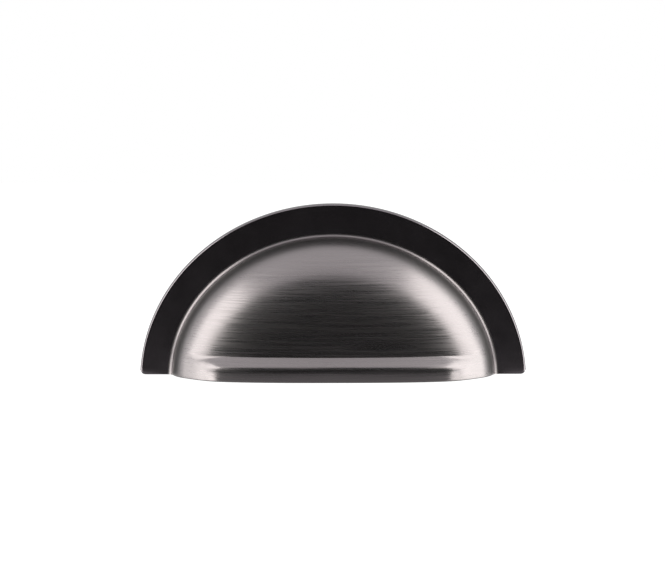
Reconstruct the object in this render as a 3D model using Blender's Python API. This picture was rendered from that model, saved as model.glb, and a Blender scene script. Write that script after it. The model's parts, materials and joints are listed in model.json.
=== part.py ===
"""Cup pull for a drawer front.

One casting: a flat half-round flange, a hollow half-dome hood standing out of it on a blended
root, a finger lip along the hood's lower edge, and two threaded screw posts inside the cup.

X runs to the viewer's right, the flange's back lies in the plane Y = 0 with the hood towards -Y,
and Z is up. The origin is on the back plane, midway between the two screw holes.
"""

import math

import bmesh
import bpy
from mathutils import Vector
from mathutils.geometry import interpolate_bezier

# Flange, in metres
FLANGE_WIDTH = 0.1052  # widest width of the ellipse that the flange is cut from
FLANGE_HEIGHT = 0.0462  # mouth plane to the top of the flange
FLANGE_DROP = 0.0021  # the flange ellipse's centre lies this far below the mouth plane
FLANGE_THICKNESS = 0.0025
FLANGE_SIDE_LEAN = 0.0007  # the flange's front is this much smaller all round than its back
FLANGE_EDGE_SOFTNESS = 0.0006
FLANGE_CORNER_RADIUS = 0.0012

# Hood
HOOD_WIDTH = 0.0873  # width where the hood's wall meets the flange face, without its root blend
HOOD_HEIGHT = 0.03725  # mouth plane to the top of the hood, without its root blend
HOOD_DROP = 0.0009  # the hood ellipse's centre lies this far below the mouth plane
HOOD_DEPTH = 0.0225  # flange face to the front of the hood, above the lip
TOP_FULLNESS = 2.4  # exponent of the hood's section over its top: 2 is an ellipse, more is squarer
SIDE_FULLNESS = 3.0  # the same exponent down at the two sides
FULLNESS_FADE = 2  # exponent of the change between them: more keeps the top's form for longer
DRAFT_DEPTH = 0.0095  # the hood's form is widest this far behind the flange face
WALL = 0.0022

# Root blend between the flange face and the hood: tight at its foot, slow where it joins the wall
ROOT_SPREAD = 0.0011  # the foot of the blend lies this far outside the wall's own line
ROOT_HEIGHT = 0.0022  # the blend has become the wall this far out from the flange face
ROOT_TIGHTNESS = 0.00045  # length of the curve's handle at the foot
ROOT_SWEEP = 0.0012  # length of the curve's handle on the wall

# Finger lip
LIP_REACH = 0.0027  # how far the lip stands out in front of the hood
LIP_CREASE_HEIGHT = 0.0064  # mouth plane to the crease where the lip's flare starts
LIP_EDGE_HEIGHT = 0.0037  # mouth plane to the lip's front edge, where its upright band starts
LIP_FOOT_LEAN = 0.0003  # the band's foot lies this far back from its top
LIP_FULL_HALF_LENGTH = 0.0280  # the lip stands out fully up to here
LIP_HALF_LENGTH = 0.0390  # the lip has run out into the side wall here
LIP_EDGE_SOFTNESS = 0.0008
LIP_ROWS_SHARE = 0.45  # the rows of the lip's edge close up no further than this share of its flare
MOUTH_EDGE_ROUND = 0.0003

# Screw posts
HOLE_SPACING = 0.0640
HOLE_HEIGHT = 0.0170  # mouth plane to the line of the holes
POST_DIAMETER = 0.0085
THREAD_DIAMETER = 0.0040
SKIN_OVER_HOLE = 0.0022  # metal left between a hole's end and the hood's face

# How finely the surfaces are divided
ARCH_STEPS = 72
HOOD_STEPS = 24
HOOD_CROWDING = 1.4  # more sets the hood's divisions closer towards its wall
ROOT_STEPS = 6
EDGE_STEPS = 3
LIP_STEPS = 2
CORE_RINGS = 26
CORE_STEPS = 72
ROUND_SIDES = 48
SHARP_ANGLE = math.radians(30)  # edges that turn more than this are shaded sharp
SEARCH_STEPS = 40  # halvings in a search for a distance
CUT_MARGIN = 0.0030  # how far a cutter runs past what it cuts

# Worked out from the sizes above
LIP_SLOPE = LIP_REACH / (LIP_CREASE_HEIGHT - LIP_EDGE_HEIGHT)
HOOD_SEMI_DEPTH = HOOD_DEPTH + DRAFT_DEPTH
FOOT_ELLIPSE = (HOOD_WIDTH / 2 + ROOT_SPREAD, HOOD_HEIGHT + HOOD_DROP + ROOT_SPREAD, HOOD_DROP)
FLANGE_ELLIPSE = (FLANGE_WIDTH / 2, FLANGE_HEIGHT + FLANGE_DROP, FLANGE_DROP)


def clear_scene():
    for item in list(bpy.data.objects):
        bpy.data.objects.remove(item, do_unlink=True)


def new_collection(name):
    collection = bpy.data.collections.new(name)
    bpy.context.scene.collection.children.link(collection)
    return collection


def black_nickel():
    """Brushed black nickel plating."""
    material = bpy.data.materials.new("black_nickel")
    material.use_nodes = True
    shader = material.node_tree.nodes["Principled BSDF"]
    shader.inputs["Base Color"].default_value = (0.28, 0.26, 0.26, 1.0)
    shader.inputs["Metallic"].default_value = 1.0
    shader.inputs["Roughness"].default_value = 0.3
    return material


def place(x, height, reach):
    """A point from its place across, its height over the mouth and its reach before the flange face."""
    return Vector((x, -FLANGE_THICKNESS - reach, height - HOLE_HEIGHT))


def root_share(fullness):
    """Size of the dome's section at the flange face, as a share of its widest size."""
    return (1 - (DRAFT_DEPTH / HOOD_SEMI_DEPTH) ** fullness) ** (1 / fullness)


def dome_depth(x, height, inset):
    """Depth of the dome in front of its widest section at this place, for the dome shrunk by the inset.

    The dome's section is fuller down at the two sides than it is up over the top.
    """
    across = x / (HOOD_WIDTH / 2)
    up = (height + HOOD_DROP) / (HOOD_HEIGHT + HOOD_DROP)
    sideways = across**2 / (across**2 + up**2) if across or up else 0
    fullness = TOP_FULLNESS + (SIDE_FULLNESS - TOP_FULLNESS) * sideways**FULLNESS_FADE
    half_width = HOOD_WIDTH / 2 / root_share(fullness) - inset
    semi_height = (HOOD_HEIGHT + HOOD_DROP) / root_share(fullness) - inset
    outward = math.hypot(x / half_width, (height + HOOD_DROP) / semi_height)
    return (HOOD_SEMI_DEPTH - inset) * max(1 - outward**fullness, 0) ** (1 / fullness)


def hood_reach(x, height):
    """How far the hood's face stands out of the flange face at this place."""
    return dome_depth(x, height, 0) - DRAFT_DEPTH


def ray_to_ellipse(start_height, across, up, ellipse):
    """Distance from (0, start_height) to an ellipse, along the unit direction (across, up)."""
    half_width, semi_height, drop = ellipse
    height = (start_height + drop) / semi_height
    a = (across / half_width) ** 2 + (up / semi_height) ** 2
    b = height * up / semi_height
    c = height**2 - 1
    return (-b + math.sqrt(b * b - a * c)) / a


def ray_to_flange_edge(start_height, across, up):
    """Distance to the flange's outline, which is rounded at its two lower corners."""
    distance = ray_to_ellipse(start_height, across, up, FLANGE_ELLIPSE)
    under_corner = FLANGE_CORNER_RADIUS - start_height
    if under_corner > 0:
        rise = math.sqrt(FLANGE_CORNER_RADIUS**2 - under_corner**2)
        distance -= FLANGE_CORNER_RADIUS - rise
    return distance


def wall_distance(start_height, across, up, reach):
    """Distance from (0, start_height) to where the hood's face stands this far out of the flange face."""
    low, high = 0.0, ray_to_ellipse(start_height, across, up, FOOT_ELLIPSE)
    for _ in range(SEARCH_STEPS):
        distance = (low + high) / 2
        if hood_reach(across * distance, start_height + up * distance) > reach:
            low = distance
        else:
            high = distance
    return low


def root_blend(start_height, across, up):
    """The curve from the flange face up to the hood's wall, as pairs of distance and reach."""
    foot = Vector((ray_to_ellipse(start_height, across, up, FOOT_ELLIPSE), 0))
    wall = Vector((wall_distance(start_height, across, up, ROOT_HEIGHT), ROOT_HEIGHT))
    lower = Vector((wall_distance(start_height, across, up, ROOT_HEIGHT / 2), ROOT_HEIGHT / 2))
    foot_handle = foot - Vector((ROOT_TIGHTNESS, 0))
    wall_handle = wall + (lower - wall).normalized() * ROOT_SWEEP
    return interpolate_bezier(foot, foot_handle, wall_handle, wall, ROOT_STEPS + 1)


def softened_corner(before, corner, after, softness, steps):
    """Points of a small curve that rounds a corner, starting and ending softness away from it."""
    start = corner + (before - corner).normalized() * softness
    end = corner + (after - corner).normalized() * softness
    curve = []
    for step in range(steps + 1):
        t = step / steps
        curve.append(start * (1 - t) ** 2 + corner * (2 * t * (1 - t)) + end * t**2)
    return curve


def skin_line(start_height, angle):
    """Points from the flange's back edge, over its face and the root blend, up the hood to its middle.

    They lie in the plane that stands on the flange face along a ray from (0, start_height).
    """
    across, up = math.cos(angle), math.sin(angle)
    edge = ray_to_flange_edge(start_height, across, up)
    back_corner = Vector((edge, -FLANGE_THICKNESS))
    front_corner = Vector((edge - FLANGE_SIDE_LEAN, 0))
    on_face = front_corner - Vector((1, 0))
    profile = [back_corner]
    profile += softened_corner(back_corner, front_corner, on_face, FLANGE_EDGE_SOFTNESS, EDGE_STEPS)
    profile += root_blend(start_height, across, up)
    points = [(across * distance, start_height + up * distance, reach) for distance, reach in profile]
    wall_start = profile[-1][0]
    for step in range(1, HOOD_STEPS + 1):
        distance = wall_start * (1 - (step / HOOD_STEPS) ** HOOD_CROWDING)
        x, height = across * distance, start_height + up * distance
        points.append((x, height, hood_reach(x, height)))
    return points


def lip_share(x):
    """How much of the lip is left at this place across: 1 at the middle, 0 where it has run out."""
    past = (abs(x) - LIP_FULL_HALF_LENGTH) / (LIP_HALF_LENGTH - LIP_FULL_HALF_LENGTH)
    past = min(max(past, 0), 1)
    return (1 - past) ** 2 * (1 + 2 * past)


def smooth_minimum(first, second, softness):
    """The smaller of two values, with the change from one to the other rounded over the softness."""
    overlap = max(softness - abs(first - second), 0)
    return min(first, second) - (overlap**2 / (4 * softness) if overlap else 0)


def lip_offset(height, share):
    """How far the skin stands out of the hood's own face at this height: the flare, then the band."""
    flare = (LIP_CREASE_HEIGHT - height) * LIP_SLOPE
    down = max(1 - height / LIP_EDGE_HEIGHT, 0)
    band = (LIP_REACH - LIP_FOOT_LEAN * down**2) * share
    return smooth_minimum(flare, band, LIP_EDGE_SOFTNESS * share)


def levels(start, end, steps):
    """Heights in even steps from the start, without the end."""
    return [start + (end - start) * step / steps for step in range(steps)]


def lip_profile(x):
    """The lip's section at this place across, as pairs of height and outward offset from the hood."""
    share = lip_share(x)
    edge_height = LIP_CREASE_HEIGHT - (LIP_CREASE_HEIGHT - LIP_EDGE_HEIGHT) * max(share, LIP_ROWS_SHARE)
    flare_end = edge_height + LIP_EDGE_SOFTNESS
    band_start = edge_height - LIP_EDGE_SOFTNESS
    heights = levels(LIP_CREASE_HEIGHT, flare_end, LIP_STEPS)
    heights += levels(flare_end, band_start, 2 * EDGE_STEPS)
    heights += levels(band_start, MOUTH_EDGE_ROUND, LIP_STEPS)
    rows = [Vector((height, lip_offset(height, share))) for height in heights]
    foot = Vector((0, lip_offset(0, share)))
    inside = foot - Vector((0, 1))
    return rows + softened_corner(rows[-1], foot, inside, MOUTH_EDGE_ROUND, EDGE_STEPS)


def strip_line(row):
    """One row of the skin under the crease, from the right flange edge round to the left one.

    row counts down from the crease. Every point of the last row lies in the mouth plane.
    """
    across_line = skin_line(LIP_CREASE_HEIGHT, 0)
    right = []
    for index in range(len(across_line)):
        height = lip_profile(across_line[index][0])[row][0]
        level = skin_line(height, 0)
        x, _, reach = level[index]
        right.append((x, height, reach))
    left = [(-x, height, reach) for x, height, reach in reversed(right[:-1])]
    line = right + left
    blend_end = 2 + EDGE_STEPS + ROOT_STEPS
    placed = []
    for index, (x, height, reach) in enumerate(line):
        offset = lip_profile(across_line[min(index, len(line) - 1 - index)][0])[row][1]
        if blend_end < index < len(line) - 1 - blend_end:
            ahead, behind = line[index + 1], line[index - 1]
            along = Vector((ahead[0] - behind[0], ahead[2] - behind[2])).normalized()
            x += along.y * offset
            reach -= along.x * offset
        placed.append((x, height, reach))
    return placed


def skin_mesh():
    """The outside of the casting as one closed mesh: the skin, the back plane and the mouth plane."""
    mesh = bmesh.new()

    def vertices(line):
        return [mesh.verts.new(place(*point)) for point in line]

    def bridge(first, second):
        for index in range(len(first) - 1):
            corners = [first[index], first[index + 1], second[index + 1], second[index]]
            mesh.faces.new(list(dict.fromkeys(corners)))

    spokes = []
    middle = None
    for step in range(ARCH_STEPS + 1):
        line = skin_line(LIP_CREASE_HEIGHT, math.pi * step / ARCH_STEPS)
        if middle is None:
            middle = mesh.verts.new(place(*line[-1]))
        spokes.append(vertices(line[:-1]) + [middle])
    for first, second in zip(spokes, spokes[1:]):
        bridge(first, second)
    rows = [spokes[0] + spokes[-1][-2::-1]]
    for row in range(1, len(lip_profile(0))):
        rows.append(vertices(strip_line(row)))
    for first, second in zip(rows, rows[1:]):
        bridge(second, first)
    mesh.faces.new(rows[-1])
    right_side = [row[0] for row in reversed(rows)]
    left_side = [row[-1] for row in rows]
    arch = [spoke[0] for spoke in spokes[1:-1]]
    mesh.faces.new(right_side + arch + left_side)
    bmesh.ops.recalc_face_normals(mesh, faces=mesh.faces)
    return mesh


def core_plan(height, direction):
    """Plan distance from the core's axis to its wall, at this height and plan direction."""
    low, high = 0.0, HOOD_WIDTH
    for _ in range(SEARCH_STEPS):
        distance = (low + high) / 2
        room = dome_depth(distance * math.cos(direction), max(height, -HOOD_DROP), WALL)
        if abs(distance * math.sin(direction)) < room:
            low = distance
        else:
            high = distance
    return low


def mouth_flare(height):
    """How much the core opens out near the mouth, which rounds the mouth's inner edge."""
    under = min(max(MOUTH_EDGE_ROUND - height, 0), MOUTH_EDGE_ROUND)
    return MOUTH_EDGE_ROUND - math.sqrt(MOUTH_EDGE_ROUND**2 - under**2)


def core_heights():
    """The core's levels, from the mouth's rounded edge up to just under its top."""
    top = (HOOD_HEIGHT + HOOD_DROP) / root_share(TOP_FULLNESS) - WALL - HOOD_DROP
    heights = [-CUT_MARGIN, 0]
    for step in range(1, EDGE_STEPS + 1):
        turn = math.pi / 2 * step / EDGE_STEPS
        heights.append(MOUTH_EDGE_ROUND * (1 - math.cos(turn)))
    first = math.asin(MOUTH_EDGE_ROUND / top)
    for step in range(1, CORE_RINGS):
        turn = first + (math.pi / 2 - first) * step / CORE_RINGS
        heights.append(top * math.sin(turn))
    return heights, top


def core_mesh():
    """The core that leaves the cup's inside: the hood's form less the wall, open at mouth and back."""
    mesh = bmesh.new()
    heights, top = core_heights()
    rings = []
    for height in heights:
        ring = []
        for step in range(CORE_STEPS):
            direction = 2 * math.pi * step / CORE_STEPS
            distance = core_plan(height, direction) + mouth_flare(height)
            x = distance * math.cos(direction)
            reach = distance * math.sin(direction) - DRAFT_DEPTH
            ring.append(mesh.verts.new(place(x, height, reach)))
        rings.append(ring)
    for lower, upper in zip(rings, rings[1:]):
        for step in range(CORE_STEPS):
            after = (step + 1) % CORE_STEPS
            mesh.faces.new([lower[step], lower[after], upper[after], upper[step]])
    tip = mesh.verts.new(place(0, top, -DRAFT_DEPTH))
    for step in range(CORE_STEPS):
        mesh.faces.new([rings[-1][step], rings[-1][(step + 1) % CORE_STEPS], tip])
    mesh.faces.new(rings[0])
    bmesh.ops.recalc_face_normals(mesh, faces=mesh.faces)
    return mesh


def object_from(mesh, name, collection):
    data = bpy.data.meshes.new(name)
    mesh.to_mesh(data)
    mesh.free()
    item = bpy.data.objects.new(name, data)
    collection.objects.link(item)
    return item


def rod(name, diameter, back, front, x, collection):
    """A round bar along Y, from its back end to its front end, on the line of the holes."""
    bpy.ops.mesh.primitive_cylinder_add(
        vertices=ROUND_SIDES,
        radius=diameter / 2,
        depth=back - front,
        location=(x, (back + front) / 2, 0),
        rotation=(math.pi / 2, 0, 0),
    )
    item = bpy.context.active_object
    item.name = name
    for holder in item.users_collection:
        holder.objects.unlink(item)
    collection.objects.link(item)
    return item


def hide_cutter(item):
    item.hide_render = True
    item.display_type = "WIRE"


def cut(item, cutter):
    modifier = item.modifiers.new(f"cut_{cutter.name}", "BOOLEAN")
    modifier.operation = "DIFFERENCE"
    modifier.object = cutter


def hole_end():
    """Y of a screw hole's blind end, which stays SKIN_OVER_HOLE behind the hood's face."""
    x = (HOLE_SPACING + THREAD_DIAMETER) / 2
    height = HOLE_HEIGHT + THREAD_DIAMETER / 2
    return -FLANGE_THICKNESS - hood_reach(x, height) + SKIN_OVER_HOLE


def cup_pull(parts, cutters):
    body = object_from(skin_mesh(), "cup_pull", parts)
    body.data.materials.append(black_nickel())
    core = object_from(core_mesh(), "core", cutters)
    hide_cutter(core)
    cut(body, core)
    deepest = -FLANGE_THICKNESS - HOOD_DEPTH - CUT_MARGIN
    for side, name in ((1, "right"), (-1, "left")):
        x = side * HOLE_SPACING / 2
        post = rod(f"post_{name}", POST_DIAMETER, 0, deepest, x, cutters)
        hide_cutter(post)
        cut(core, post)
        hole = rod(f"hole_{name}", THREAD_DIAMETER, CUT_MARGIN, hole_end(), x, cutters)
        hide_cutter(hole)
        cut(body, hole)
    body.data.shade_smooth()
    body.data.set_sharp_from_angle(angle=SHARP_ANGLE)
    return body


def main():
    clear_scene()
    parts = new_collection("cup_pull")
    cutters = new_collection("cutters")
    cup_pull(parts, cutters)


main()
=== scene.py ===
"""Looks of the cup pull: a fine mesh of the casting, its brushed black nickel finish and a small studio.

X runs to the viewer's right, the flange's back lies in the plane Y = 0 with the hood towards -Y,
and Z is up. The origin is on the back plane, midway between the two screw holes.
"""

import json
import math

import bmesh
import bpy
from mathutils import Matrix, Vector
from mathutils.geometry import interpolate_bezier

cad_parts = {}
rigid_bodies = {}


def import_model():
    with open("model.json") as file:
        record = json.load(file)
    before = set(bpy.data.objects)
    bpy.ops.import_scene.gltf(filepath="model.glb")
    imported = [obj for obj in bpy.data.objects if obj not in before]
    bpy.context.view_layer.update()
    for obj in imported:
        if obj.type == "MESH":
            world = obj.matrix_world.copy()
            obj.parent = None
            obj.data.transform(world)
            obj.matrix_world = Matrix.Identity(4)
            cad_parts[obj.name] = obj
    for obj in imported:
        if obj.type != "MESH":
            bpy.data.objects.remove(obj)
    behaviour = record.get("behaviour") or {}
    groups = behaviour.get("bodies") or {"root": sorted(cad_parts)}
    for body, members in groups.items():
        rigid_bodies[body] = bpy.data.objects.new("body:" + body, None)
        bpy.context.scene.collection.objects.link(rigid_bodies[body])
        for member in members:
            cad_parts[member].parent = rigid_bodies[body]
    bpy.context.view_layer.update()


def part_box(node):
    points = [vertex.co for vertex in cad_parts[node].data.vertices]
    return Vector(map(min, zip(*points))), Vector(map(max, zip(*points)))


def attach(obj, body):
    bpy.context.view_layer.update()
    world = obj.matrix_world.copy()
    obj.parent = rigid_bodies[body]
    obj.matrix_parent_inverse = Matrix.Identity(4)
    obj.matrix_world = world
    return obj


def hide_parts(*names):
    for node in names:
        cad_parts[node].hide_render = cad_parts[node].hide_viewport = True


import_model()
LOW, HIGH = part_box("cup_pull")

# Flange, in metres
MOUTH_Z = LOW.z  # the mouth plane, which every height is measured up from
FLANGE_HEIGHT = HIGH.z - LOW.z
FLANGE_WIDTH = 0.1050  # widest width of the ellipse that the flange is cut from
FLANGE_DROP = 0.0021  # the flange ellipse's centre lies this far below the mouth plane
FLANGE_THICKNESS = 0.0025
FLANGE_SIDE_LEAN = 0.0004  # the flange's front is this much smaller all round than its back
FLANGE_EDGE_SOFTNESS = 0.0006  # the front edge's rounding starts and ends this far from the edge
FLANGE_CORNER_RADIUS = 0.0012
BACK_EDGE_SOFTNESS = 0.0002

# Hood
HOOD_WIDTH = 0.0874  # width where the hood's wall meets the flange face, without its root blend
HOOD_HEIGHT = 0.0373  # mouth plane to the top of the hood, without its root blend
HOOD_DROP = 0.0009  # the hood ellipse's centre lies this far below the mouth plane
HOOD_DEPTH = 0.0225  # flange face to the front of the hood, above the lip
TOP_FULLNESS = 2.4  # exponent of the hood's section over its top: 2 is an ellipse, more is squarer
SIDE_FULLNESS = 3.0  # the same exponent down at the two sides
FULLNESS_FADE = 2  # exponent of the change between them: more keeps the top's form for longer
DRAFT_DEPTH = 0.0095  # the hood's form is widest this far behind the flange face
WALL = 0.0022

# Root blend between the flange face and the hood: tight at its foot, slow where it joins the wall
ROOT_SPREAD = 0.0009  # over the top, the foot of the blend lies this far outside the wall's own line
ROOT_SPREAD_ASIDE = 0.0012  # the same at the two sides
ROOT_HEIGHT = 0.0012  # the blend has become the wall this far out from the flange face
ROOT_TIGHTNESS = 0.00045  # length of the curve's handle at the foot
ROOT_SWEEP = 0.0006  # length of the curve's handle on the wall

# Finger lip
LIP_REACH = 0.0027  # how far the lip stands out in front of the hood
LIP_CREASE_HEIGHT = 0.0064  # mouth plane to the crease where the lip's flare starts
LIP_EDGE_HEIGHT = 0.0037  # mouth plane to the lip's front edge, where its upright band starts
LIP_FOOT_LEAN = 0.0003  # the band's foot lies this far back from its top
LIP_FULL_HALF_LENGTH = 0.0280  # the lip stands out fully up to here
LIP_HALF_LENGTH = 0.0390  # the lip has run out into the side wall here
LIP_CREASE_SOFTNESS = 0.0001
LIP_CREASE_FADE = 0.0010  # the crease's softness grows by this much as the lip runs out
LIP_EDGE_SOFTNESS = 0.0008
LIP_EDGE_FADE = 0.0016  # the edge's softness grows by this much as the lip runs out
LIP_EDGE_SOFTEST = 0.9  # most that the edge's softness is, as a share of how far the lip stands out
LIP_ROWS_SHARE = 0.45  # the rows of the lip's edge close up no further than this share of its flare
MOUTH_EDGE_ROUND = 0.0003

# Screw posts
HOLE_SPACING = 0.0640
HOLE_HEIGHT = -MOUTH_Z  # mouth plane to the line of the holes
POST_DIAMETER = 0.0085
POST_END_ROUND = 0.0003
POST_ROOT_FILLET = 0.0011
POST_ROOT_SINK = 0.00003  # the fillet's edge lies this far inside the wall, so that no gap is left
POST_SHORTEST = 0.0016  # least length of a post's side, from the back plane to its root
THREAD_DIAMETER = 0.0040
THREAD_CORE_DIAMETER = 0.0033
THREAD_MOUTH_DIAMETER = 0.0044
THREAD_PITCH = 0.0007
SKIN_OVER_HOLE = 0.0022  # metal left between a hole's end and the hood's face

# How finely the surfaces are divided
ARCH_STEPS = 240  # spokes of the skin, from one end of the arch to the other
HOOD_STEPS = 130  # from the root blend to the hood's middle
HOOD_CROWDING = 1.2  # more sets the hood's divisions closer towards its wall
ROOT_STEPS = 14
EDGE_STEPS = 6  # over a rounded edge
FLARE_STEPS = 6  # down the lip's flare, and again down its band
CORE_RINGS = 60
CORE_STEPS = 180  # points of a ring of the core
ROUND_SIDES = 72  # points of a ring of a post or a hole
POST_CAP_RINGS = 4
THREAD_STEPS = 10  # levels in one turn of the thread
SEARCH_STEPS = 36  # halvings in a search for a distance
CUT_MARGIN = 0.0030  # how far a cutter runs past what it cuts
FLANGE_FACE_MARGIN = 0.00001  # a point this far before the flange face still counts as on it
SHARP_ANGLE = math.radians(35)  # edges that turn more than this are shaded sharp

# Worked out from the sizes above. An ellipse is its half width, its other semi-axis and its centre's drop
LIP_SLOPE = LIP_REACH / (LIP_CREASE_HEIGHT - LIP_EDGE_HEIGHT)
LIP_TOP = LIP_CREASE_HEIGHT + LIP_CREASE_SOFTNESS / LIP_SLOPE
HOOD_SEMI_DEPTH = HOOD_DEPTH + DRAFT_DEPTH
FOOT_ELLIPSE = (HOOD_WIDTH / 2 + ROOT_SPREAD_ASIDE, HOOD_HEIGHT + HOOD_DROP + ROOT_SPREAD, HOOD_DROP)
FLANGE_ELLIPSE = (FLANGE_WIDTH / 2, FLANGE_HEIGHT + FLANGE_DROP, FLANGE_DROP)

# Finishes. Colours and roughnesses are given as a low and a high value, and noise runs between the two
BRUSHED_COLOURS = ((0.220, 0.195, 0.203), (0.260, 0.230, 0.238))
BRUSHED_ROUGHNESS = (0.22, 0.36)
SMOOTH_COLOURS = ((0.250, 0.222, 0.240), (0.272, 0.242, 0.262))
SMOOTH_ROUGHNESS = (0.17, 0.21)
CAST_COLOURS = ((0.200, 0.190, 0.188), (0.250, 0.238, 0.235))
CAST_ROUGHNESS = (0.36, 0.48)
THREAD_COLOURS = ((0.34, 0.33, 0.32), (0.46, 0.45, 0.44))
THREAD_ROUGHNESS = (0.25, 0.38)
LACQUER = 1.0  # weight of the clear coat
LACQUER_ROUGHNESS = 0.5
LACQUER_IOR = 1.45
FLANGE_FINISH = 1  # place of the flange's finish among the casting's materials

# Noise, as its scale along X, Y and Z and its detail. A smaller scale stretches it along that axis
BRUSH_STREAKS = ((50.0, 50.0, 3000.0), 3.0)
FLANGE_CLOUDS = ((160.0, 160.0, 160.0), 3.0)
CAST_CLOUDS = ((120.0, 120.0, 120.0), 2.0)
CAST_GRAIN = ((1800.0, 1800.0, 1800.0), 3.0)
THREAD_RINGS = ((300.0, 4000.0, 300.0), 2.0)
NOISE_MIDDLE = 0.5
NOISE_SPREAD = 0.2  # noise mostly lies within this of its middle
STREAK_SPREAD = 0.15  # the same for the brush lines

# Fine relief, as its strength and its height in metres
BRUSH_RELIEF = (0.5, 0.00002)
CAST_RELIEF = (0.35, 0.00003)

# Where the brush lines start to show and where they are full, as distance in front of the back plane
BRUSH_START = 0.0090
BRUSH_FULL = 0.0160

# Camera, at the photograph's viewing angle, with its angles in degrees
CAMERA_TARGET = Vector((0.0, -0.012, 0.005))  # the distance and the elevation are measured from here
CAMERA_DISTANCE = 0.650
CAMERA_ELEVATION = 3.6
CAMERA_AIM = Vector((-0.00012, -0.012, 0.00545))  # the camera looks at this point
CAMERA_ROLL = -0.08
SENSOR_WIDTH = 36.0  # in millimetres, like the lens
LENS = 132.15

# Lamps: name, azimuths to the right of the camera's side, elevations, both in degrees, and brightness
SOFTBOXES = (
    ("left_softbox", (-107, -65), (12, 53), 2.8),
    ("left_low_softbox", (-88, -65), (-24, 0), 3.9),
    ("left_side_softbox", (-109, -89), (-24, 12), 3.0),
    ("right_softbox", (68, 119), (11, 59), 2.7),
    ("right_low_softbox", (65, 90), (-24, 0), 2.8),
    ("right_side_softbox", (92, 119), (-24, 11), 3.0),
)
LIGHT_DISTANCE = 2.0  # from the origin to the middle of each lamp
LIGHT_COLOUR = (0.98, 1.0, 0.94)
WORLD_LIGHT = 0.6  # strength of the white surround as a light

# Room that shiny surfaces see, with its levels from 0, black, to 1, white
WALL_DISTANCE = 3.0
WALL_WIDTH = 22.0  # and both sizes of the table
WALL_TOP = 8.0
WALL_FOOT = -0.42  # the dark wall ends here, and the grey skirt under it begins
TABLE_Z = -1.2
BACK_WIDTH = 8.6
BACK_TOP = 5.2
DARK_LEVEL = 0.032
GREY_LEVEL = 0.32
BACK_LEVEL = 0.5

# Floor
FLOOR_SIZE = 6.0
FLOOR_GAP = 0.00005  # the floor lies this far under the mouth plane
FLOOR_COLOUR = (0.35, 0.35, 0.35, 1.0)
FLOOR_ROUGHNESS = 0.9
FLOOR_GLOW = 0.88  # what the camera sees of the floor in addition to the light that falls on it

BLACK = (0.0, 0.0, 0.0, 1.0)
WHITE = (1.0, 1.0, 1.0, 1.0)


def clear_start_scene():
    """The start file's own cube, lamp and camera go; the frame's nodes stay."""
    for item in list(bpy.data.objects):
        if item.name in ("Cube", "Light", "Camera"):
            bpy.data.objects.remove(item, do_unlink=True)


def add_object(name, data):
    """A new object of this data, in the scene."""
    item = bpy.data.objects.new(name, data)
    bpy.context.scene.collection.objects.link(item)
    return item


# The casting's form


def place(x, height, reach):
    """A point from its place across, its height over the mouth and its reach before the flange face."""
    return Vector((x, -FLANGE_THICKNESS - reach, height + MOUTH_Z))


def root_share(fullness):
    """Size of the dome's section at the flange face, as a share of its widest size."""
    return (1 - (DRAFT_DEPTH / HOOD_SEMI_DEPTH) ** fullness) ** (1 / fullness)


def dome_depth(x, height, inset):
    """Depth of the dome in front of its widest section at this place, for the dome shrunk by the inset.

    The dome's section is fuller down at the two sides than it is up over the top.
    """
    across = x / (HOOD_WIDTH / 2)
    up = (height + HOOD_DROP) / (HOOD_HEIGHT + HOOD_DROP)
    sideways = across**2 / (across**2 + up**2) if across or up else 0
    fullness = TOP_FULLNESS + (SIDE_FULLNESS - TOP_FULLNESS) * sideways**FULLNESS_FADE
    half_width = HOOD_WIDTH / 2 / root_share(fullness) - inset
    semi_height = (HOOD_HEIGHT + HOOD_DROP) / root_share(fullness) - inset
    outward = math.hypot(x / half_width, (height + HOOD_DROP) / semi_height)
    return (HOOD_SEMI_DEPTH - inset) * max(1 - outward**fullness, 0) ** (1 / fullness)


def hood_reach(x, height):
    """How far the hood's face stands out of the flange face at this place."""
    return dome_depth(x, height, 0) - DRAFT_DEPTH


def ray_to_ellipse(start_height, across, up, ellipse):
    """Distance from (0, start_height) to an ellipse, along the unit direction (across, up).

    It is the positive root of square * distance**2 + 2 * linear * distance + constant = 0.
    """
    half_width, semi_height, drop = ellipse
    height = (start_height + drop) / semi_height
    square = (across / half_width) ** 2 + (up / semi_height) ** 2
    linear = height * up / semi_height
    constant = height**2 - 1
    return (-linear + math.sqrt(linear * linear - square * constant)) / square


def ray_to_flange_edge(start_height, across, up):
    """Distance to the flange's outline, which is rounded at its two lower corners."""
    distance = ray_to_ellipse(start_height, across, up, FLANGE_ELLIPSE)
    under_corner = FLANGE_CORNER_RADIUS - start_height
    if under_corner > 0:
        rise = math.sqrt(FLANGE_CORNER_RADIUS**2 - under_corner**2)
        distance -= FLANGE_CORNER_RADIUS - rise
    return distance


def furthest(holds, limit):
    """The furthest distance, from 0 to the limit, at which the test still holds."""
    low, high = 0.0, limit
    for _ in range(SEARCH_STEPS):
        distance = (low + high) / 2
        if holds(distance):
            low = distance
        else:
            high = distance
    return low


def wall_distance(start_height, across, up, reach):
    """Distance from (0, start_height) to where the hood's face stands this far out of the flange face."""

    def inside(distance):
        return hood_reach(across * distance, start_height + up * distance) > reach

    return furthest(inside, ray_to_ellipse(start_height, across, up, FOOT_ELLIPSE))


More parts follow.
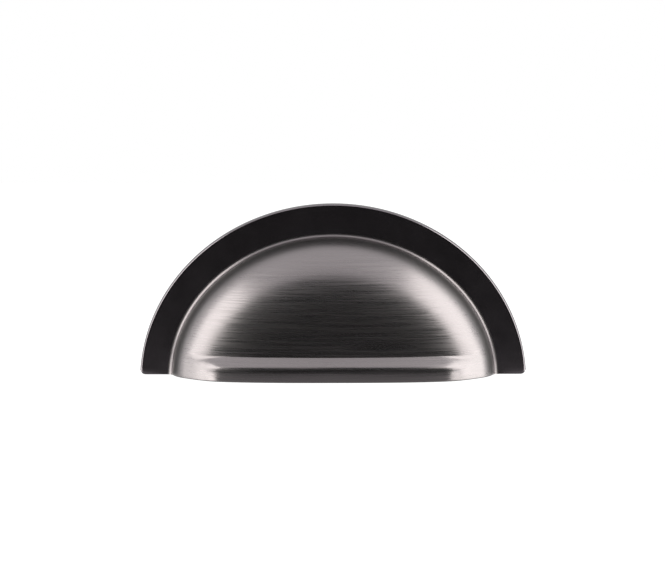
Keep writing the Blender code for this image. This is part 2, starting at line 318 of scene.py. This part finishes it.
def root_blend(start_height, across, up):
    """The curve from the flange face up to the hood's wall, as pairs of distance and reach."""
    foot = Vector((ray_to_ellipse(start_height, across, up, FOOT_ELLIPSE), 0))
    wall = Vector((wall_distance(start_height, across, up, ROOT_HEIGHT), ROOT_HEIGHT))
    lower = Vector((wall_distance(start_height, across, up, ROOT_HEIGHT / 2), ROOT_HEIGHT / 2))
    foot_handle = foot - Vector((ROOT_TIGHTNESS, 0))
    wall_handle = wall + (lower - wall).normalized() * ROOT_SWEEP
    return interpolate_bezier(foot, foot_handle, wall_handle, wall, ROOT_STEPS + 1)


def quarter_turn(steps):
    """Angles from 0 to a quarter turn, both of them included."""
    return [math.pi / 2 * step / steps for step in range(steps + 1)]


def levels(start, end, steps):
    """Even levels from the start up to the end, which is left out."""
    return [start + (end - start) * step / steps for step in range(steps)]


def softened_corner(before, corner, after, softness):
    """Points of a small curve that rounds a corner, starting and ending softness away from it."""
    start = corner + (before - corner).normalized() * softness
    end = corner + (after - corner).normalized() * softness
    curve = []
    for step in range(EDGE_STEPS + 1):
        along = step / EDGE_STEPS
        curve.append(start * (1 - along) ** 2 + corner * (2 * along * (1 - along)) + end * along**2)
    return curve


def skin_line(start_height, angle):
    """Points from the flange's back edge, over its face and the root blend, up the hood to its middle.

    They lie in the plane that stands on the flange face along a ray from (0, start_height).
    """
    across, up = math.cos(angle), math.sin(angle)
    edge = ray_to_flange_edge(start_height, across, up)
    back_corner = Vector((edge, -FLANGE_THICKNESS))
    front_corner = Vector((edge - FLANGE_SIDE_LEAN, 0))
    on_back = back_corner - Vector((1, 0))
    on_face = front_corner - Vector((1, 0))
    profile = softened_corner(on_back, back_corner, front_corner, BACK_EDGE_SOFTNESS)
    profile += softened_corner(back_corner, front_corner, on_face, FLANGE_EDGE_SOFTNESS)
    profile += root_blend(start_height, across, up)
    points = [(across * distance, start_height + up * distance, reach) for distance, reach in profile]
    wall_start = profile[-1][0]
    for step in range(1, HOOD_STEPS + 1):
        distance = wall_start * (1 - (step / HOOD_STEPS) ** HOOD_CROWDING)
        x, height = across * distance, start_height + up * distance
        points.append((x, height, hood_reach(x, height)))
    return points


def lip_share(x):
    """How much of the lip is left at this place across: 1 at the middle, 0 where it has run out."""
    past = (abs(x) - LIP_FULL_HALF_LENGTH) / (LIP_HALF_LENGTH - LIP_FULL_HALF_LENGTH)
    past = min(max(past, 0), 1)
    return (1 - past) ** 2 * (1 + 2 * past)


def smooth_minimum(first, second, softness):
    """The smaller of two values, with the change from one to the other rounded over the softness."""
    overlap = max(softness - abs(first - second), 0)
    return min(first, second) - (overlap**2 / (4 * softness) if overlap else 0)


def lip_offset(height, share):
    """How far the skin stands out of the hood's own face at this height: the flare, then the band.

    The crease over the flare and the edge between the two grow softer as less of the lip is left.
    """
    crease_fade = LIP_CREASE_FADE * (1 - share)
    rise = (height - LIP_CREASE_HEIGHT) * LIP_SLOPE + crease_fade
    flare = -smooth_minimum(0, rise, LIP_CREASE_SOFTNESS + crease_fade)
    down = max(1 - height / LIP_EDGE_HEIGHT, 0)
    band = (LIP_REACH - LIP_FOOT_LEAN * down**2) * share
    edge_softness = LIP_EDGE_SOFTNESS + LIP_EDGE_FADE * (1 - share)
    return smooth_minimum(flare, band, min(edge_softness, LIP_EDGE_SOFTEST * LIP_REACH * share))


def lip_profile(x):
    """The lip's section at this place across, as pairs of height and outward offset from the hood."""
    share = lip_share(x)
    edge_height = LIP_CREASE_HEIGHT - (LIP_CREASE_HEIGHT - LIP_EDGE_HEIGHT) * max(share, LIP_ROWS_SHARE)
    flare_start = 2 * LIP_CREASE_HEIGHT - LIP_TOP
    flare_end = edge_height + LIP_EDGE_SOFTNESS / 2
    band_start = edge_height - LIP_EDGE_SOFTNESS / 2
    heights = [LIP_TOP, LIP_CREASE_HEIGHT]
    heights += levels(flare_start, flare_end, FLARE_STEPS)
    heights += levels(flare_end, band_start, 2 * EDGE_STEPS)
    heights += levels(band_start, MOUTH_EDGE_ROUND, FLARE_STEPS)
    rows = [Vector((height, lip_offset(height, share))) for height in heights]
    foot = Vector((0, lip_offset(0, share)))
    inside = foot - Vector((0, 1))
    return rows + softened_corner(rows[-1], foot, inside, MOUTH_EDGE_ROUND)


def strip_line(row):
    """One row of the skin under the crease, from the right flange edge round to the left one.

    row counts down from the crease. Every point of the last row lies in the mouth plane.
    """
    sections = [lip_profile(x)[row] for x, _, _ in skin_line(LIP_TOP, 0)]
    right = []
    for index, (height, _) in enumerate(sections):
        x, _, reach = skin_line(height, 0)[index]
        right.append((x, height, reach))
    left = [(-x, height, reach) for x, height, reach in reversed(right[:-1])]
    line = right + left
    last = len(line) - 1
    blend_end = 2 * (EDGE_STEPS + 1) + ROOT_STEPS
    placed = []
    for index, (x, height, reach) in enumerate(line):
        if blend_end < index < last - blend_end:
            offset = sections[min(index, last - index)][1]
            ahead, behind = line[index + 1], line[index - 1]
            along = Vector((ahead[0] - behind[0], ahead[2] - behind[2])).normalized()
            x += along.y * offset
            reach -= along.x * offset
        placed.append((x, height, reach))
    return placed


def skin_mesh():
    """The outside of the casting as one closed mesh: the skin, the back plane and the mouth plane."""
    mesh = bmesh.new()

    def vertices(line):
        return [mesh.verts.new(place(*point)) for point in line]

    def bridge(first, second):
        """Faces between two lines: those at a point that the lines share have three corners."""
        for index in range(len(first) - 1):
            corners = [first[index], first[index + 1], second[index + 1], second[index]]
            mesh.faces.new(list(dict.fromkeys(corners)))

    lines = [skin_line(LIP_TOP, math.pi * step / ARCH_STEPS) for step in range(ARCH_STEPS + 1)]
    middle = mesh.verts.new(place(*lines[0][-1]))
    spokes = [vertices(line[:-1]) + [middle] for line in lines]
    for first, second in zip(spokes, spokes[1:]):
        bridge(first, second)
    rows = [spokes[0] + spokes[-1][-2::-1]]
    for row in range(1, len(lip_profile(0))):
        rows.append(vertices(strip_line(row)))
    for first, second in zip(rows, rows[1:]):
        bridge(second, first)
    mesh.faces.new(rows[-1])
    right_side = [row[0] for row in reversed(rows)]
    left_side = [row[-1] for row in rows]
    arch = [spoke[0] for spoke in spokes[1:-1]]
    mesh.faces.new(right_side + arch + left_side)
    for face in mesh.faces:
        if all(corner.co.y > -FLANGE_THICKNESS - FLANGE_FACE_MARGIN for corner in face.verts):
            face.material_index = FLANGE_FINISH
    bmesh.ops.recalc_face_normals(mesh, faces=mesh.faces)
    return mesh


def join_rings(mesh, rings):
    """Faces between rings of as many vertices each."""
    for lower, upper in zip(rings, rings[1:]):
        for step in range(len(lower)):
            after = (step + 1) % len(lower)
            mesh.faces.new([lower[step], lower[after], upper[after], upper[step]])


def closed_tube(rings):
    """A closed mesh through rings of as many points each, with a face over each end."""
    mesh = bmesh.new()
    rings = [[mesh.verts.new(point) for point in ring] for ring in rings]
    join_rings(mesh, rings)
    mesh.faces.new(rings[0])
    mesh.faces.new(rings[-1])
    bmesh.ops.recalc_face_normals(mesh, faces=mesh.faces)
    return mesh


def core_plan(height, direction):
    """Plan distance from the core's axis to its wall, at this height and plan direction."""

    def inside(distance):
        room = dome_depth(distance * math.cos(direction), max(height, -HOOD_DROP), WALL)
        return abs(distance * math.sin(direction)) < room

    return furthest(inside, HOOD_WIDTH)


def mouth_flare(height):
    """How much the core opens out near the mouth, which rounds the mouth's inner edge."""
    under = min(max(MOUTH_EDGE_ROUND - height, 0), MOUTH_EDGE_ROUND)
    return MOUTH_EDGE_ROUND - math.sqrt(MOUTH_EDGE_ROUND**2 - under**2)


def core_heights():
    """The core's levels, from below the mouth up to just under its top, and the top itself."""
    top = (HOOD_HEIGHT + HOOD_DROP) / root_share(TOP_FULLNESS) - WALL - HOOD_DROP
    heights = [-CUT_MARGIN, 0]
    for turn in quarter_turn(EDGE_STEPS)[1:]:
        heights.append(MOUTH_EDGE_ROUND * (1 - math.cos(turn)))
    first = math.asin(MOUTH_EDGE_ROUND / top)
    for turn in levels(first, math.pi / 2, CORE_RINGS)[1:]:
        heights.append(top * math.sin(turn))
    return heights, top


def core_mesh():
    """The core that leaves the cup's inside, open at the mouth and the back."""
    mesh = bmesh.new()
    heights, top = core_heights()
    rings = []
    for height in heights:
        ring = []
        for step in range(CORE_STEPS):
            direction = 2 * math.pi * step / CORE_STEPS
            distance = core_plan(height, direction) + mouth_flare(height)
            x = distance * math.cos(direction)
            reach = distance * math.sin(direction) - DRAFT_DEPTH
            ring.append(mesh.verts.new(place(x, height, reach)))
        rings.append(ring)
    join_rings(mesh, rings)
    tip = mesh.verts.new(place(0, top, -DRAFT_DEPTH))
    for step in range(CORE_STEPS):
        mesh.faces.new([rings[-1][step], rings[-1][(step + 1) % CORE_STEPS], tip])
    mesh.faces.new(rings[0])
    bmesh.ops.recalc_face_normals(mesh, faces=mesh.faces)
    return mesh


def post_outline():
    """A post's outline, each point as its radius, its depth and whether depth counts from the wall.

    It runs round the back end, along the side, out over the root's fillet and in through the wall.
    Depth counts from the back plane where it doesn't count from the wall.
    """
    radius = POST_DIAMETER / 2
    outline = []
    for turn in quarter_turn(EDGE_STEPS):
        end_radius = radius - POST_END_ROUND * (1 - math.sin(turn))
        outline.append((end_radius, POST_END_ROUND * (1 - math.cos(turn)), False))
    for turn in quarter_turn(2 * EDGE_STEPS):
        spread = POST_ROOT_FILLET * (1 - math.cos(turn))
        sunk = POST_ROOT_FILLET * (math.sin(turn) - 1) + POST_ROOT_SINK
        outline.append((radius + spread, sunk, True))
    for ring in range(POST_CAP_RINGS):
        cap_radius = (radius + POST_ROOT_FILLET) * (1 - ring / POST_CAP_RINGS)
        outline.append((cap_radius, WALL / 2, True))
    return outline


def post_mesh(x_middle):
    """One screw post: rounded at its back end, and spreading into the cup's wall at its root."""
    rings = []
    for radius, depth, from_wall in post_outline():
        ring = []
        for step in range(ROUND_SIDES):
            direction = 2 * math.pi * step / ROUND_SIDES
            x = x_middle + radius * math.cos(direction)
            height = HOLE_HEIGHT + radius * math.sin(direction)
            wall = max(dome_depth(x, height, WALL) - DRAFT_DEPTH, POST_SHORTEST - FLANGE_THICKNESS)
            reach = wall + depth if from_wall else depth - FLANGE_THICKNESS
            ring.append(place(x, height, reach))
        rings.append(ring)
    return closed_tube(rings)


def hole_depth():
    """Depth of a screw hole from the back plane, which leaves SKIN_OVER_HOLE behind the hood's face."""
    x = (HOLE_SPACING + THREAD_DIAMETER) / 2
    height = HOLE_HEIGHT + THREAD_DIAMETER / 2
    return FLANGE_THICKNESS + hood_reach(x, height) - SKIN_OVER_HOLE


def thread_mesh(x_middle):
    """The cutter of one screw hole, whose wall is a helical thread with a widened mouth."""
    outer, inner = THREAD_DIAMETER / 2, THREAD_CORE_DIAMETER / 2
    mouth = THREAD_MOUTH_DIAMETER / 2
    end = hole_depth()
    spacing = THREAD_PITCH / THREAD_STEPS
    depths = [-CUT_MARGIN, 0] + [spacing * step for step in range(1, int(end / spacing))] + [end]
    rings = []
    for depth in depths:
        ring = []
        for step in range(ROUND_SIDES):
            turn = step / ROUND_SIDES
            phase = (depth / THREAD_PITCH + turn) % 1
            groove = abs(2 * phase - 1)
            radius = max(inner + (outer - inner) * groove, mouth - max(depth, 0))
            x = x_middle + radius * math.cos(2 * math.pi * turn)
            height = HOLE_HEIGHT + radius * math.sin(2 * math.pi * turn)
            ring.append(place(x, height, depth - FLANGE_THICKNESS))
        rings.append(ring)
    return closed_tube(rings)


def object_from(mesh, name, *materials):
    """An object of this mesh, which is freed, with these materials."""
    data = bpy.data.meshes.new(name)
    mesh.to_mesh(data)
    mesh.free()
    for material in materials:
        data.materials.append(material)
    return add_object(name, data)


def cut(item, cutter):
    """Takes the cutter's form out of the item for good, and removes the cutter."""
    modifier = item.modifiers.new("cut", "BOOLEAN")
    modifier.operation = "DIFFERENCE"
    modifier.solver = "MANIFOLD"
    modifier.material_mode = "TRANSFER"
    modifier.object = cutter
    bpy.context.view_layer.update()
    depsgraph = bpy.context.evaluated_depsgraph_get()
    cut_mesh = bpy.data.meshes.new_from_object(item.evaluated_get(depsgraph))
    item.modifiers.clear()
    item.data = cut_mesh
    bpy.data.objects.remove(cutter, do_unlink=True)


def casting(outside, flange, inside, threads):
    """The whole casting as one closed mesh, with the finish of each region."""
    body = object_from(skin_mesh(), "cup_pull_casting", outside, flange)
    core = object_from(core_mesh(), "core", inside)
    for side in (1, -1):
        cut(core, object_from(post_mesh(side * HOLE_SPACING / 2), "post", inside))
    cut(body, core)
    for side in (1, -1):
        cut(body, object_from(thread_mesh(side * HOLE_SPACING / 2), "hole", threads))
    body.data.shade_smooth()
    body.data.set_sharp_from_angle(angle=SHARP_ANGLE)
    return body


# Finishes


def new_material(name):
    """A new material, its node tree and its shader."""
    material = bpy.data.materials.new(name)
    material.use_nodes = True
    tree = material.node_tree
    return material, tree, tree.nodes["Principled BSDF"]


def noise(tree, scale, detail):
    """Noise in the object's own space, from 0 to 1."""
    coordinates = tree.nodes.new("ShaderNodeTexCoord")
    mapping = tree.nodes.new("ShaderNodeMapping")
    mapping.inputs["Scale"].default_value = scale
    node = tree.nodes.new("ShaderNodeTexNoise")
    node.inputs["Scale"].default_value = 1.0
    node.inputs["Detail"].default_value = detail
    tree.links.new(coordinates.outputs["Object"], mapping.inputs["Vector"])
    tree.links.new(mapping.outputs["Vector"], node.inputs["Vector"])
    return node.outputs["Fac"]


def ranged(tree, value, low, high, spread):
    """Noise that mostly lies within the spread of its middle, brought to the range from low to high."""
    node = tree.nodes.new("ShaderNodeMapRange")
    node.inputs["From Min"].default_value = NOISE_MIDDLE - spread
    node.inputs["From Max"].default_value = NOISE_MIDDLE + spread
    node.inputs["To Min"].default_value = low
    node.inputs["To Max"].default_value = high
    tree.links.new(value, node.inputs["Value"])
    return node.outputs["Result"]


def tinted(tree, value, dark, light):
    """A colour between two, by the value."""
    node = tree.nodes.new("ShaderNodeMix")
    node.data_type = "RGBA"
    node.inputs["A"].default_value = (*dark, 1.0)
    node.inputs["B"].default_value = (*light, 1.0)
    tree.links.new(value, node.inputs["Factor"])
    return node.outputs["Result"]


def plate(tree, shader, tone, colours, texture, roughness, spread=NOISE_SPREAD):
    """Metal whose colour follows one noise, the tone, and whose roughness follows another."""
    shader.inputs["Metallic"].default_value = 1.0
    share = ranged(tree, tone, 0.0, 1.0, spread)
    tree.links.new(tinted(tree, share, *colours), shader.inputs["Base Color"])
    tree.links.new(ranged(tree, texture, *roughness, spread), shader.inputs["Roughness"])


def relief(tree, shader, texture, strength, height):
    """Fine relief in the shader's surface, which follows the noise."""
    node = tree.nodes.new("ShaderNodeBump")
    node.inputs["Strength"].default_value = strength
    node.inputs["Distance"].default_value = height
    tree.links.new(texture, node.inputs["Height"])
    tree.links.new(node.outputs["Normal"], shader.inputs["Normal"])


def brush_lines(tree):
    """Horizontal streaks, which fade out down the hood's side, towards the root blend."""
    coordinates = tree.nodes.new("ShaderNodeTexCoord")
    axes = tree.nodes.new("ShaderNodeSeparateXYZ")
    tree.links.new(coordinates.outputs["Object"], axes.inputs["Vector"])
    brushed = tree.nodes.new("ShaderNodeMapRange")
    brushed.inputs["From Min"].default_value = -BRUSH_START
    brushed.inputs["From Max"].default_value = -BRUSH_FULL
    tree.links.new(axes.outputs["Y"], brushed.inputs["Value"])
    faded = tree.nodes.new("ShaderNodeMix")
    faded.inputs["A"].default_value = NOISE_MIDDLE
    tree.links.new(brushed.outputs["Result"], faded.inputs["Factor"])
    tree.links.new(noise(tree, *BRUSH_STREAKS), faded.inputs["B"])
    return faded.outputs["Result"]


def brushed_nickel():
    """The hood: lacquered, and brushed along horizontal lines, some of which scatter the light more."""
    material, tree, shader = new_material("brushed_black_nickel")
    lines = brush_lines(tree)
    plate(tree, shader, lines, BRUSHED_COLOURS, lines, BRUSHED_ROUGHNESS, STREAK_SPREAD)
    relief(tree, shader, lines, *BRUSH_RELIEF)
    shader.inputs["Coat Weight"].default_value = LACQUER
    shader.inputs["Coat Roughness"].default_value = LACQUER_ROUGHNESS
    shader.inputs["Coat IOR"].default_value = LACQUER_IOR
    return material


def smooth_nickel():
    """The flange: plated over a fine blasted face, with no brush lines."""
    material, tree, shader = new_material("smooth_black_nickel")
    clouds = noise(tree, *FLANGE_CLOUDS)
    plate(tree, shader, clouds, SMOOTH_COLOURS, clouds, SMOOTH_ROUGHNESS)
    return material


def cast_nickel():
    """The cup's inside: plated over the bare casting, so duller and with a fine grain."""
    material, tree, shader = new_material("cast_black_nickel")
    grain = noise(tree, *CAST_GRAIN)
    plate(tree, shader, noise(tree, *CAST_CLOUDS), CAST_COLOURS, grain, CAST_ROUGHNESS)
    relief(tree, shader, grain, *CAST_RELIEF)
    return material


def cut_nickel():
    """The tapped threads: bright where the tap has cut."""
    material, tree, shader = new_material("tapped_thread")
    rings = noise(tree, *THREAD_RINGS)
    plate(tree, shader, rings, THREAD_COLOURS, rings, THREAD_ROUGHNESS)
    return material


# Studio


def white_studio():
    """A white surround, seen by the camera and by shiny surfaces, and a plain level of light."""
    world = bpy.data.worlds.new("studio")
    world.use_nodes = True
    bpy.context.scene.world = world
    tree = world.node_tree
    background = tree.nodes["Background"]
    background.inputs["Color"].default_value = WHITE
    path = tree.nodes.new("ShaderNodeLightPath")
    seen = path.outputs["Is Camera Ray"]
    for ray in ("Is Glossy Ray", "Is Transmission Ray"):
        either = tree.nodes.new("ShaderNodeMath")
        either.operation = "MAXIMUM"
        tree.links.new(seen, either.inputs[0])
        tree.links.new(path.outputs[ray], either.inputs[1])
        seen = either.outputs["Value"]
    strength = tree.nodes.new("ShaderNodeMapRange")
    strength.inputs["To Min"].default_value = WORLD_LIGHT
    strength.inputs["To Max"].default_value = 1.0
    tree.links.new(seen, strength.inputs["Value"])
    tree.links.new(strength.outputs["Result"], background.inputs["Strength"])


def rectangle(name, width, height, material):
    """A flat rectangle in its own XY plane, round its origin."""
    mesh = bmesh.new()
    bmesh.ops.create_grid(mesh, x_segments=1, y_segments=1, size=0.5)
    bmesh.ops.scale(mesh, vec=(width, height, 1.0), verts=mesh.verts)
    return object_from(mesh, name, material)


def direction_at(azimuth, elevation):
    """Unit direction at an azimuth from the camera's side, positive to the right, and an elevation."""
    across, up = math.radians(azimuth), math.radians(elevation)
    return Vector((math.sin(across) * math.cos(up), -math.cos(across) * math.cos(up), math.sin(up)))


def aim(item, spot, target):
    """Puts the item at a spot and turns its own -Z towards the target."""
    item.location = spot
    item.rotation_euler = (target - spot).to_track_quat("-Z", "Y").to_euler()


def softbox(name, azimuths, elevations, brightness):
    """An area lamp that fills a range of azimuths and elevations, given by the brightness of its face."""
    azimuth, elevation = sum(azimuths) / 2, sum(elevations) / 2
    half_width = LIGHT_DISTANCE * math.tan(math.radians(azimuths[1] - azimuths[0]) / 2)
    half_height = LIGHT_DISTANCE * math.tan(math.radians(elevations[1] - elevations[0]) / 2)
    lamp = bpy.data.lights.new(name, "AREA")
    lamp.shape = "RECTANGLE"
    lamp.size = 2 * half_width * math.cos(math.radians(elevation))
    lamp.size_y = 2 * half_height
    lamp.energy = brightness * math.pi * lamp.size * lamp.size_y
    lamp.color = LIGHT_COLOUR
    item = add_object(name, lamp)
    aim(item, direction_at(azimuth, elevation) * LIGHT_DISTANCE, Vector((0, 0, 0)))
    item.visible_camera = False


def card(name, width, height, level):
    """A card that only shiny surfaces see, of an even brightness, in place of the white surround."""
    material, _, shader = new_material(name)
    shader.inputs["Base Color"].default_value = BLACK
    shader.inputs["Specular IOR Level"].default_value = 0.0
    shader.inputs["Emission Color"].default_value = (level, level, level, 1.0)
    shader.inputs["Emission Strength"].default_value = 1.0
    material.cycles.emission_sampling = "NONE"  # it is no lamp
    item = rectangle(name, width, height, material)
    item.visible_camera = False
    item.visible_shadow = False
    item.visible_diffuse = False
    return item


def upright_card(name, width, foot, top, y, level):
    """A card that stands across the room, from its foot to its top."""
    item = card(name, width, top - foot, level)
    item.location = (0, y, (top + foot) / 2)
    item.rotation_euler = (math.pi / 2, 0, 0)


def room_cards():
    """The room round the object: dark behind the camera, with a grey foot, table and back wall."""
    upright_card("dark_wall", WALL_WIDTH, WALL_FOOT, WALL_TOP, -WALL_DISTANCE, DARK_LEVEL)
    upright_card("grey_skirt", WALL_WIDTH, TABLE_Z, WALL_FOOT, -WALL_DISTANCE, GREY_LEVEL)
    table = card("grey_table", WALL_WIDTH, WALL_WIDTH, GREY_LEVEL)
    table.location = (0, 0, TABLE_Z)
    upright_card("back_wall", BACK_WIDTH, TABLE_Z, BACK_TOP, WALL_DISTANCE, BACK_LEVEL)


def pale_floor():
    """The floor at the mouth plane: white to the camera, with the object's shadow kept on it."""
    material, tree, shader = new_material("pale_floor")
    shader.inputs["Base Color"].default_value = FLOOR_COLOUR
    shader.inputs["Roughness"].default_value = FLOOR_ROUGHNESS
    shader.inputs["Specular IOR Level"].default_value = 0.0
    shader.inputs["Emission Color"].default_value = WHITE
    path = tree.nodes.new("ShaderNodeLightPath")
    glow = tree.nodes.new("ShaderNodeMapRange")
    glow.inputs["To Max"].default_value = FLOOR_GLOW
    tree.links.new(path.outputs["Is Camera Ray"], glow.inputs["Value"])
    tree.links.new(glow.outputs["Result"], shader.inputs["Emission Strength"])
    floor = rectangle("floor", FLOOR_SIZE, FLOOR_SIZE, material)
    floor.location = (0, 0, MOUTH_Z - FLOOR_GAP)
    floor.visible_glossy = False
    floor.visible_shadow = False


def add_camera():
    """The camera at the photograph's viewing angle."""
    data = bpy.data.cameras.new("camera")
    data.sensor_width = SENSOR_WIDTH
    data.lens = LENS
    item = add_object("camera", data)
    aim(item, CAMERA_TARGET + direction_at(0, CAMERA_ELEVATION) * CAMERA_DISTANCE, CAMERA_AIM)
    item.rotation_euler.rotate_axis("Z", math.radians(CAMERA_ROLL))
    bpy.context.scene.camera = item


clear_start_scene()
piece = casting(brushed_nickel(), smooth_nickel(), cast_nickel(), cut_nickel())
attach(piece, "root")
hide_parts("cup_pull")

white_studio()
pale_floor()
room_cards()
for name, azimuths, elevations, brightness in SOFTBOXES:
    softbox(name, azimuths, elevations, brightness)
add_camera()
bpy.context.scene.view_settings.view_transform = "Standard"
